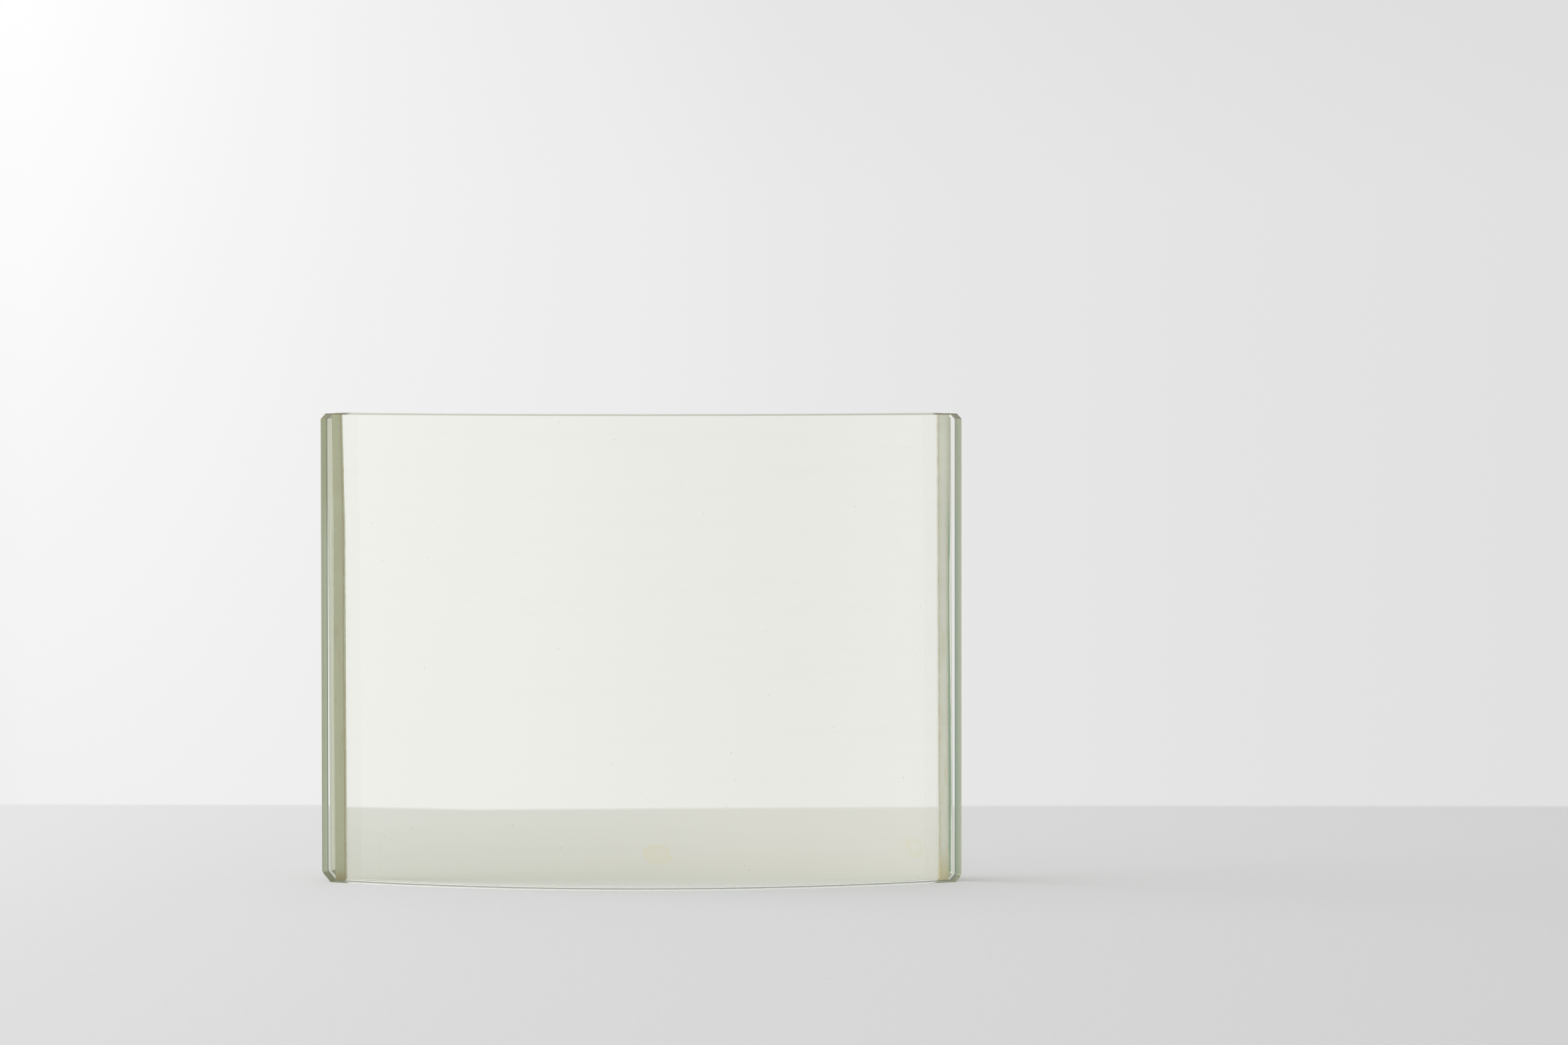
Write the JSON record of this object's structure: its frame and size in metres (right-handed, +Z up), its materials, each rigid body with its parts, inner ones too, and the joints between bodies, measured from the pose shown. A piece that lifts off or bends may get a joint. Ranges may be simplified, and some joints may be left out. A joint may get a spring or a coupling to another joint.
{
  "type": "curved glass photo frame",
  "caption": "Free-standing photo frame of bent clear glass sheets, joined near their ends by adhesive strips that leave a curved slot for a print.",
  "frame": {"origin": "on the table, at the middle of the frame's width and depth", "axes": "+X to the viewer's right along the width, +Y away from the viewer, so that the bulging front faces -Y, +Z up"},
  "size_m": [0.26, 0.0458, 0.19],
  "materials": {
    "clear_glass": "polished",
    "adhesive": "translucent, aged",
    "clear_film": "gloss"
  },
  "bodies": {
    "root": {"front_pane": "clear_glass", "rear_pane": "clear_glass", "left_spacer_strip": "adhesive", "right_spacer_strip": "adhesive", "corner_film": "clear_film"}
  },
  "joints": []
}
